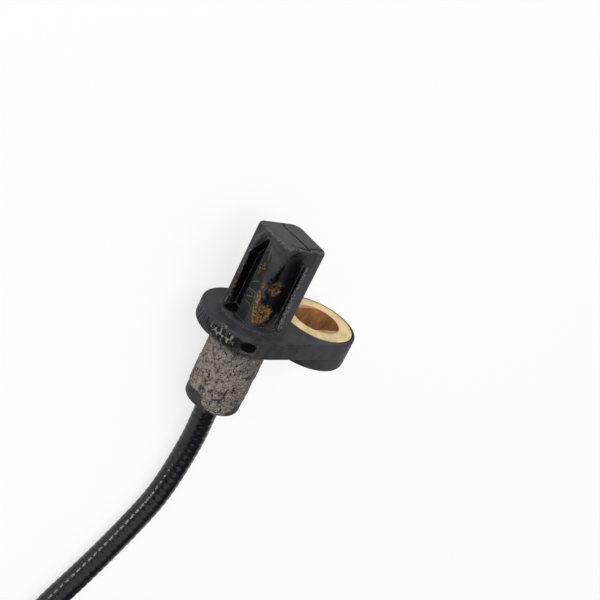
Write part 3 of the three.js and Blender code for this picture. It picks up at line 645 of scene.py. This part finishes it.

# %% [markdown]
# All of it ends in the shader: rust is rougher than plastic, the painted-shade recesses are smoother,
# cuts are deep, and flakes stand out. A weathered skin mirrors little, so the specular level is low.

# %% Black plastic: gloss and relief
tree.links.new(colour, shader.inputs["Base Color"])
shader.inputs["Specular IOR Level"].default_value = 0.06
gloss = scale_between(tree, cloud, 0.3, 0.7, 0.40, 0.55)
gloss = calculate(tree, "SUBTRACT", gloss, times(tree, recess_shade, 0.12))
gloss = calculate(tree, "ADD", gloss, times(tree, covered, 0.35), True)
tree.links.new(gloss, shader.inputs["Roughness"])
relief = times(tree, grain, 0.45)
relief = calculate(tree, "ADD", relief, times(tree, covered, 1.3))
relief = calculate(tree, "ADD", relief, times(tree, times(tree, torn, pillar), 1.2))
relief = calculate(tree, "SUBTRACT", relief, times(tree, cut, 1.2))
bumped(tree, shader, relief, 0.07, rounding=0.2)
housing.data.materials.append(plastic)

# %% [markdown]
# The bush is pressed brass. It is modelled as a disc whose middle is pulled in to the slot, then
# given its height, and its edges get the small bevel that every turned part has.

# %% Brass bush
bush_radius, slot_radius, slot_flat = 9.1, 5.8, 8.9
bolt_pitch, bush_front, bush_rear = 18.95, 0.1, -8.0
bush_bevel, bush_sides = 0.12, 128
shape = bmesh.new()
bmesh.ops.create_circle(shape, segments=bush_sides, radius=bush_radius)
made = bmesh.ops.extrude_edge_only(shape, edges=shape.edges[:])
inner = [v for v in made["geom"] if isinstance(v, bmesh.types.BMVert)]
for vert in inner:
    vert.co *= slot_radius / bush_radius
    vert.co.y = max(-slot_flat / 2, min(slot_flat / 2, vert.co.y))
made = bmesh.ops.extrude_face_region(shape, geom=shape.faces[:])
moved = [v for v in made["geom"] if isinstance(v, bmesh.types.BMVert)]
bmesh.ops.translate(shape, verts=moved, vec=(0, 0, bush_rear - bush_front))
bmesh.ops.recalc_face_normals(shape, faces=shape.faces)
sharp = [e for e in shape.edges if e.calc_face_angle(0) > math.radians(60)]
bmesh.ops.bevel(shape, geom=sharp, offset=bush_bevel, offset_type="OFFSET", affect="EDGES",
                segments=2, profile=0.5, material=-1, clamp_overlap=True)
bmesh.ops.translate(shape, verts=shape.verts, vec=(bolt_pitch, 0, bush_front))
bmesh.ops.scale(shape, verts=shape.verts, vec=(mm, mm, mm))
bmesh.ops.transform(shape, matrix=sensor_place, verts=shape.verts)
print("bush faces:", len(shape.faces))


def finish_piece(shape, name, material, replaced=(), angle=35):
    """Turns a bmesh into a finished piece, which stands for the solids named in replaced."""
    piece = shown(shape, name, angle)
    piece.data.materials.append(material)
    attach(piece, "root")
    if replaced:
        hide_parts(*replaced)
    return piece


brass, tree, shader = new_finish("stained_brass")
place = sensor_place_of(tree)
cloud = noise(tree, place, 0.3, 5.0)
tarnish = scale_between(tree, cloud, 0.35, 0.65)
brass_colour = mix_colours(tree, tarnish, (0.78, 0.62, 0.30), (0.62, 0.47, 0.25))
from_bolt = vector_step(tree, "SUBTRACT", place, (bolt_pitch, 0, 0)).outputs[0]
from_bolt = vector_step(tree, "LENGTH", stretched(tree, from_bolt, (1, 1, 0))).outputs["Value"]
bore_fade = 0.15
in_bore = scale_between(tree, from_bolt, slot_radius, slot_radius + bore_fade, 1.0, 0.0)
streaks = noise(tree, stretched(tree, place, (0.6, 0.6, 0.25)), 1.0, 5.0)
streaks = scale_between(tree, streaks, 0.35, 0.65)
bore_colour = mix_colours(tree, streaks, (0.40, 0.18, 0.070), (0.62, 0.31, 0.135))
tree.links.new(mix_colours(tree, in_bore, brass_colour, bore_colour), shader.inputs["Base Color"])
tree.links.new(scale_between(tree, in_bore, 0.0, 1.0, 1.0, 0.35), shader.inputs["Metallic"])
tree.links.new(scale_between(tree, cloud, 0.3, 0.7, 0.36, 0.5), shader.inputs["Roughness"])
bumped(tree, shader, noise(tree, place, 5.0, 5.0), 0.02)
finish_piece(shape, "pressed_bush", brass, ["mounting_bush"])

# %% [markdown]
# Road salt and dirt have baked on to the body as a pale crust. It is a thin sleeve of its own: a
# profile is spun round the body, cut fine, and each of its points is then moved in or out by
# noise. Where the crust has chipped off, the sleeve sinks below the plastic, which shows there.
# Its lower edge runs unevenly round the body and leaves the foot of the left side bare. A chip is
# an angle round the body, a height, half its width in degrees, half its height and its slant.

# %% Height of the crust
body_radius = 6.55
crust_top, crust_end = -4.3, -23.45
crust_rows, crust_sides = 190, 400
foot_start, foot_radius = -22.5, 1.1
chip_depth, left_side = 0.16, 175
chips = [
    (245.2, -17.3, 1.9, 1.25, -0.35), (236.0, -19.3, 3.2, 0.5, -0.5), (240.5, -19.7, 3.4, 0.75, 0.3),
    (282.0, -12.2, 7.0, 0.9, -0.9), (287.0, -11.1, 3.0, 0.45, 0.0), (153.0, -17.6, 6.0, 0.9, 0.0),
    (196.0, -18.9, 3.5, 0.5, 0.4), (251.0, -21.6, 1.6, 0.35, 0.0), (219.0, -17.8, 1.8, 0.3, 0.6),
    (120.0, -12.0, 9.0, 1.0, 0.0), (60.0, -9.0, 18.0, 1.6, 0.3), (30.0, -17.5, 22.0, 1.8, -0.3),
    (340.0, -15.0, 12.0, 1.2, 0.0), (95.0, -18.4, 14.0, 1.2, 0.0),
]
lower_edge = [
    (0, -21.2), (60, -22.2), (110, -21.6), (150, -19.6), (176, -20.4), (192, -20.0), (204, -20.4),
    (212, -21.9), (219, -22.8), (238, -22.9), (260, -22.9), (275, -21.4), (286, -20.0), (300, -19.4),
    (330, -20.6), (360, -21.2),
]


def edge_height(angle):
    """How low the crust reaches at an angle round the body."""
    for (a, low_a), (b, low_b) in zip(lower_edge, lower_edge[1:]):
        if a <= angle <= b:
            return low_a + (low_b - low_a) * (angle - a) / (b - a)
    return lower_edge[0][1]


def crust_height(angle, z, point):
    """How far the crust stands over the plastic, in millimetres."""
    torn = seeded_noise.fractal(point * 1.3, 0.9, 2.0, 4)
    if z < edge_height(angle) + 0.45 * torn:
        return -chip_depth
    for chip_angle, chip_z, wide, tall, slant in chips:
        off = (angle - chip_angle + 180) % 360 - 180
        across = off / wide + slant * (z - chip_z) / tall
        if math.hypot(across, (z - chip_z) / tall) + 0.5 * torn < 1:
            return -chip_depth
    distances, _ = seeded_noise.voronoi(point * 0.8 + Vector((0.5, 0.5, 0.5)) * torn)
    clod = min(1.0, 2.2 * (distances[1] - distances[0]))
    lumps = seeded_noise.fractal(point * 0.5, 1.0, 2.0, 3)
    grit = seeded_noise.fractal(point * 3.2, 0.8, 2.0, 3)
    leftness = 0.5 + 0.5 * math.cos(math.radians(angle - left_side))
    return 0.03 + 0.11 * lumps + (0.05 + 0.13 * leftness) * clod + 0.09 * grit


print("chips in the crust:", len(chips))

# %% Sleeve of crust
shape = bmesh.new()
rows = []
for row in range(crust_rows + 1):
    z = crust_top + (crust_end - crust_top) * row / crust_rows
    below = max(0.0, foot_start - z)
    radius = body_radius - (foot_radius - math.sqrt(max(0.0, foot_radius ** 2 - below ** 2)))
    rows.append(shape.verts.new((radius, 0, z)))
for upper, lower in zip(rows, rows[1:]):
    shape.edges.new((upper, lower))
bmesh.ops.spin(shape, geom=shape.verts[:] + shape.edges[:], cent=(0, 0, 0), axis=(0, 0, 1),
               angle=2 * math.pi, steps=crust_sides, use_merge=True)
bmesh.ops.recalc_face_normals(shape, faces=shape.faces)
for vert in shape.verts:
    outward = Vector((vert.co.x, vert.co.y, 0)).normalized()
    angle = math.degrees(math.atan2(outward.y, outward.x)) % 360
    vert.co += outward * crust_height(angle, vert.co.z, vert.co.copy())
bmesh.ops.scale(shape, verts=shape.verts, vec=(mm, mm, mm))
bmesh.ops.transform(shape, matrix=sensor_place, verts=shape.verts)
print("crust faces:", len(shape.faces))

# %% [markdown]
# The crust is chalky. It is greener towards the cable's side and redder towards the ear, with pale
# grit on top of the clods and black dirt between them.

# %% Finish of the crust
crust_finish, tree, shader = new_finish("baked_crust")
place = sensor_place_of(tree)
cloud = noise(tree, place, 0.3, 4.0)
speckle = noise(tree, place, 1.3, 7.0, 0.7)
across = add(tree, "ShaderNodeSeparateXYZ", {"Vector": place}).outputs["X"]
across = calculate(tree, "ADD", across, times(tree, cloud, 6.0))
greener = scale_between(tree, across, -2.5, 5.0, 1.0, 0.0)
crust_colour = mix_colours(tree, greener, (0.35, 0.268, 0.24), (0.43, 0.365, 0.30))
fine = noise(tree, place, 3.2, 6.0, 0.75)
crust_colour = mix_colours(tree, scale_between(tree, speckle, 0.52, 0.70), crust_colour, (0.68, 0.60, 0.52))
pale_grit = scale_between(tree, fine, 0.53, 0.63)
crust_colour = painted_over(tree, crust_colour, pale_grit, 0.8, (0.85, 0.80, 0.72))
dark_grit = scale_between(tree, fine, 0.35, 0.46, 1.0, 0.0)
crust_colour = painted_over(tree, crust_colour, dark_grit, 0.7, (0.08, 0.065, 0.055))
hollows = scale_between(tree, speckle, 0.32, 0.43, 1.0, 0.0)
crust_colour = mix_colours(tree, hollows, crust_colour, (0.10, 0.080, 0.066))
wander_sockets = {"Vector": place, "Scale": 1.2, "Detail": 3.0}
wander = add(tree, "ShaderNodeTexNoise", wander_sockets).outputs["Color"]
clod_place = vector_step(tree, "ADD", place, stretched(tree, wander, (1.6, 1.6, 1.6))).outputs[0]
clod_sockets = {"Vector": clod_place, "Scale": 0.75}
clods = add(tree, "ShaderNodeTexVoronoi", clod_sockets, feature="DISTANCE_TO_EDGE")
gaps = scale_between(tree, clods.outputs["Distance"], 0.02, 0.10, 1.0, 0.0)
gaps = times(tree, gaps, scale_between(tree, noise(tree, place, 0.7, 4.0), 0.42, 0.6))
gaps = times(tree, gaps, scale_between(tree, greener, 0.0, 1.0, 0.35, 1.0))
crust_colour = painted_over(tree, crust_colour, gaps, 0.85, (0.030, 0.024, 0.020))
# Darker just under the flange: dirt, and painted shade under the flange's rim.
rim_dirt_and_shade = add(tree, "ShaderNodeSeparateXYZ", {"Vector": place}).outputs["Z"]
rim_dirt_and_shade = calculate(tree, "ADD", rim_dirt_and_shade, times(tree, cloud, 3.0))
rim_dirt_and_shade = scale_between(tree, rim_dirt_and_shade, -6.4, -4.8)
crust_colour = painted_over(tree, crust_colour, rim_dirt_and_shade, 0.85, (0.028, 0.024, 0.022))
tree.links.new(crust_colour, shader.inputs["Base Color"])
shader.inputs["Roughness"].default_value = 0.95
shader.inputs["Specular IOR Level"].default_value = 0.2
grit = calculate(tree, "ADD", noise(tree, place, 1.7, 8.0, 0.75), times(tree, gaps, -0.6))
bumped(tree, shader, grit, 0.8)
finish_piece(shape, "body_crust", crust_finish, angle=75)

# %% [markdown]
# The jacket of the cable is a glossy black rubber. Its rings are real shapes, so the finish only
# adds a faint bloom, specks of dust and a gloss that varies.

# %% Cable jacket
jacket, tree, shader = new_finish("glossy_jacket")
place = sensor_place_of(tree)
cloud = noise(tree, place, 0.5, 5.0)
dust = scale_between(tree, noise(tree, place, 2.2, 5.0, 0.7), 0.64, 0.74)
colour = mix_colours(tree, scale_between(tree, cloud, 0.4, 0.7), (0.006, 0.006, 0.009), (0.013, 0.013, 0.017))
colour = painted_over(tree, colour, dust, 0.3, (0.07, 0.07, 0.075))
tree.links.new(colour, shader.inputs["Base Color"])
tree.links.new(scale_between(tree, cloud, 0.3, 0.7, 0.12, 0.22), shader.inputs["Roughness"])
shader.inputs["Specular IOR Level"].default_value = 0.36
bumped(tree, shader, noise(tree, place, 2.6, 4.0), 0.03)
cable.data.materials.append(jacket)

# %% [markdown]
# The pieces inside the nose are hidden by the moulding, and each still has the finish of the real
# one: glass-filled nylon, black epoxy, nickel, tinned copper. One helper makes such a finish from
# two colours, two levels of gloss and the size of its grain.

# %% Finishes with grain
def grained_finish(name, dark, light, gloss, metallic=0.0, grain=1.0, relief=0.02):
    """A finish whose colour, gloss and surface vary, with grain about that many millimetres wide."""
    finish, tree, shader = new_finish(name)
    place = sensor_place_of(tree)
    cloud = noise(tree, place, 0.4 / grain, 5.0)
    fine = noise(tree, place, 3.0 / grain, 6.0, 0.7)
    colour = mix_colours(tree, scale_between(tree, cloud, 0.35, 0.65), dark, light)
    tree.links.new(colour, shader.inputs["Base Color"])
    tree.links.new(scale_between(tree, fine, 0.3, 0.7, *gloss), shader.inputs["Roughness"])
    shader.inputs["Metallic"].default_value = metallic
    bumped(tree, shader, fine, relief)
    return finish


def finish_node(finish, *names):
    """Gives CAD solids that are shown as they are their finish."""
    for name in names:
        nodes[name].data.materials.clear()
        nodes[name].data.materials.append(finish)


tinned = grained_finish("tinned_copper", (0.50, 0.46, 0.42), (0.66, 0.60, 0.54), (0.25, 0.42), 1.0, 0.5)
white_core = grained_finish("white_insulation", (0.68, 0.66, 0.61), (0.78, 0.77, 0.73), (0.4, 0.5))
black_core = grained_finish("black_insulation", (0.010, 0.010, 0.012), (0.018, 0.018, 0.021), (0.4, 0.5))
carrier = grained_finish("brown_nylon", (0.075, 0.045, 0.026), (0.11, 0.068, 0.040), (0.5, 0.66), 0.0, 0.6)
epoxy = grained_finish("moulded_epoxy", (0.008, 0.008, 0.009), (0.016, 0.016, 0.018), (0.45, 0.6), 0.0, 0.3)
nickel = grained_finish("plated_nickel", (0.52, 0.51, 0.50), (0.63, 0.62, 0.60), (0.2, 0.34), 1.0, 0.8, 0.01)
glaze = grained_finish("capacitor_glaze", (0.30, 0.15, 0.045), (0.40, 0.22, 0.075), (0.3, 0.45), 0.0, 0.5)
steel = grained_finish("crimped_steel", (0.42, 0.43, 0.44), (0.55, 0.56, 0.57), (0.3, 0.48), 1.0, 0.8)
finish_node(tinned, "lead_strip_a", "lead_strip_b", "crimp_sleeve_a", "crimp_sleeve_b")
finish_node(white_core, "core_wire_a", "connector_core_a")
finish_node(black_core, "core_wire_b", "connector_core_b")
finish_node(carrier, "sensor_carrier")
finish_node(epoxy, "sensing_chip")
finish_node(nickel, "bias_magnet")
finish_node(glaze, "filter_capacitor")
finish_node(steel, "cable_ferrule")
print("finishes so far:", len(bpy.data.materials))

# %% [markdown]
# The connector isn't in the photograph. Its housing, lock, boot and blades are the CAD solids
# with smooth normals, because their shapes are the real ones already. The moulded nylon has a fine
# spark-eroded grain and a few rubbed edges.

# %% Connector
def eroded_finish(name, dark, light, gloss):
    """Moulded nylon: fine grain all over and pale wear on its edges."""
    finish, tree, shader = new_finish(name)
    place = sensor_place_of(tree)
    cloud = noise(tree, place, 0.3, 5.0)
    grit = noise(tree, place, 5.0, 4.0, 0.7)
    colour = mix_colours(tree, scale_between(tree, cloud, 0.35, 0.65), dark, light)
    worn = tuple(min(1.0, 3 * part + 0.05) for part in light)
    edges = scale_between(tree, edge_of(tree, 0.45), 0.06, 0.3)
    rubbed = times(tree, edges, scale_between(tree, grit, 0.45, 0.6))
    colour = mix_colours(tree, times(tree, rubbed, 0.5), colour, worn)
    tree.links.new(colour, shader.inputs["Base Color"])
    tree.links.new(scale_between(tree, grit, 0.3, 0.7, *gloss), shader.inputs["Roughness"])
    bumped(tree, shader, grit, 0.03, rounding=0.18)
    return finish


plug_finish = eroded_finish("connector_nylon", (0.014, 0.014, 0.016), (0.022, 0.022, 0.025), (0.45, 0.6))
lock_finish = eroded_finish("grey_nylon", (0.26, 0.28, 0.30), (0.34, 0.36, 0.38), (0.45, 0.58))
boot_finish = eroded_finish("boot_rubber", (0.009, 0.009, 0.011), (0.015, 0.015, 0.017), (0.55, 0.75))
plug_pieces = {
    "connector_housing": ("plug_housing", "connector_plastic", plug_finish),
    "terminal_lock": ("blade_lock", "lock_plastic", lock_finish),
    "cable_boot": ("ribbed_boot", "boot_rubber", boot_finish),
    "terminal_a": ("blade_a", "tinned_copper", tinned),
    "terminal_b": ("blade_b", "tinned_copper", tinned),
}
for node_name, (piece_name, slot_name, finish) in plug_pieces.items():
    piece = smooth_copy(node_name, piece_name)
    piece.data.materials.append(finish)

# %% [markdown]
# Each seal is a soft ring with three rounded lips that press on the bore. Its profile is bent up
# from a wave and spun round the wire.

# %% Wire seals
seal_bore, seal_radius, seal_length, lip_depth = 1.1, 1.7, 3, 0.28


def seal_profile(bore, radius, length, lips=3, steps=36):
    """Points of [along, radius] of a lipped sleeve, outside first and then the bore."""
    outside = []
    for i in range(steps + 1):
        along = length * i / steps
        wave = 0.5 - 0.5 * math.cos(2 * math.pi * lips * i / steps)
        outside.append((along, radius - lip_depth * (1 - wave)))
    return [(0, bore), *outside, (length, bore)]


seal_finish = grained_finish("seal_rubber", (0.22, 0.065, 0.025), (0.28, 0.09, 0.04), (0.5, 0.68), 0.0, 0.6)
for letter in "ab":
    low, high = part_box(f"wire_seal_{letter}")
    middle = (low + high) / 2
    shape = bmesh.new()
    profile = seal_profile(seal_bore, seal_radius, seal_length)
    points = [shape.verts.new((along * mm, radius * mm, 0)) for along, radius in profile]
    for a, b in zip(points, points[1:] + points[:1]):
        shape.edges.new((a, b))
    bmesh.ops.spin(shape, geom=shape.verts[:] + shape.edges[:], cent=(0, 0, 0), axis=(1, 0, 0),
                   angle=2 * math.pi, steps=48, use_merge=True)
    bmesh.ops.recalc_face_normals(shape, faces=shape.faces)
    along_y = Matrix.Rotation(-math.pi / 2, 4, "Z")
    start = Vector((middle.x, high.y, middle.z))
    bmesh.ops.transform(shape, matrix=Matrix.Translation(start) @ along_y, verts=shape.verts)
    finish_piece(shape, f"lipped_seal_{letter}", seal_finish, [f"wire_seal_{letter}"])
print("connector pieces:", len(plug_pieces) + 2)

# %% [markdown]
# Three nylon ties hold the coil. A real one is a strap with a square head: the strap's end goes
# through the head, where a pawl catches it, and is cut off short. A beveled block whose two open
# sides are taken away and whose wall is made solid gives the strap.

# %% Coil ties
tie_low, tie_high, tie_top = 22.0, 35.0, 13.0
tie_width, tie_wall, tie_bend = 4.6, 0.6, 3.2
tie_middle = (tie_low + tie_high) / 2
head_length, head_height, head_sunk = 4.4, 2.3, 0.4
stub_length, stub_thickness, stub_forward = 2.6, 0.9, 3.1
stub_gap, stub_width = 0.1, tie_width - 0.8


def block_in(shape, middle, size):
    """A block with a middle and a size, given back as its corners."""
    place = Matrix.Translation(middle) @ Matrix.Diagonal((*size, 1))
    return bmesh.ops.create_cube(shape, size=1, matrix=place)["verts"]


def edges_of(corners):
    """The edges between the given corners."""
    return list({edge for corner in corners for edge in corner.link_edges})


def rounded(shape, edges, width, segments):
    """Gives edges a round bevel of a width in so many steps."""
    bmesh.ops.bevel(shape, geom=edges, offset=width, offset_type="OFFSET", affect="EDGES",
                    segments=segments, profile=0.5, material=-1)


def strap():
    """The closed strap of a tie in a bmesh of its own."""
    shape = bmesh.new()
    corners = block_in(shape, (tie_middle, 0, tie_top / 2), (tie_high - tie_low, tie_width, tie_top))
    across = [edge for edge in edges_of(corners) if edge.calc_length() < tie_width + 0.1]
    rounded(shape, across, tie_bend, 8)
    shape.normal_update()
    ends = [face for face in shape.faces if abs(face.normal.y) > 0.9]
    bmesh.ops.delete(shape, geom=ends, context="FACES_ONLY")
    bmesh.ops.solidify(shape, geom=shape.faces[:], thickness=tie_wall)
    rim = [e for e in shape.edges if e.is_manifold and e.calc_face_angle(0) > math.radians(60)]
    rounded(shape, rim, 0.15, 2)
    return shape


def head_and_tail(shape):
    """Adds the head on top of the strap, with its window, and the end that is cut off short."""
    head_middle = (tie_middle, 0, tie_top - head_sunk + head_height / 2)
    corners = block_in(shape, head_middle, (head_length, tie_width, head_height))
    shape.normal_update()
    top = next(face for corner in corners for face in corner.link_faces if face.normal.z > 0.9)
    bmesh.ops.inset_individual(shape, faces=[top], thickness=1.1, depth=-0.7)
    head_edges = [e for e in edges_of(corners) if e.calc_face_angle(0) > math.radians(60)]
    rounded(shape, head_edges, 0.3, 3)
    stub_middle = (tie_middle + stub_forward, 0, tie_top + stub_gap + stub_thickness / 2)
    corners = block_in(shape, stub_middle, (stub_length, stub_width, stub_thickness))
    rounded(shape, edges_of(corners), 0.2, 2)


dark_nylon, pale_nylon = (0.012, 0.012, 0.014), (0.022, 0.022, 0.024)
nylon = grained_finish("tie_nylon", dark_nylon, pale_nylon, (0.3, 0.45), 0.0, 0.7, 0.015)
ties = []
for letter, degrees in (("a", 20), ("b", 140), ("c", 260)):
    shape = strap()
    head_and_tail(shape)
    turn = Matrix.Rotation(math.radians(degrees), 4, "Z")
    centre = Matrix.Translation((coil_centre[0], coil_centre[1], 0))
    bmesh.ops.recalc_face_normals(shape, faces=shape.faces)
    bmesh.ops.transform(shape, matrix=Matrix.Scale(mm, 4) @ centre @ turn, verts=shape.verts)
    tie = finish_piece(shape, f"strap_tie_{letter}", nylon, [f"coil_tie_{letter}"])
    ties.append(tie)
    print(tie.name, len(tie.data.polygons), "faces")

# %% [markdown]
# The pieces that ride on the cable are gathered once they all exist. About 56 mm of it show in the
# photograph; such a sensor has about 0.9 m of cable in all, so the rest is wound up and ends in its
# connector.

# %% The pieces on the cable
riders = ties + [bpy.data.objects[name] for name, _, _ in plug_pieces.values()]
riders += [bpy.data.objects[f"lipped_seal_{letter}"] for letter in "ab"]
riders += [nodes[f"connector_core_{letter}"] for letter in "ab"]
print("pieces on the cable:", len(riders))

# %% Sizes
low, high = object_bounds()
print("looks from", tuple(low), "to", tuple(high))
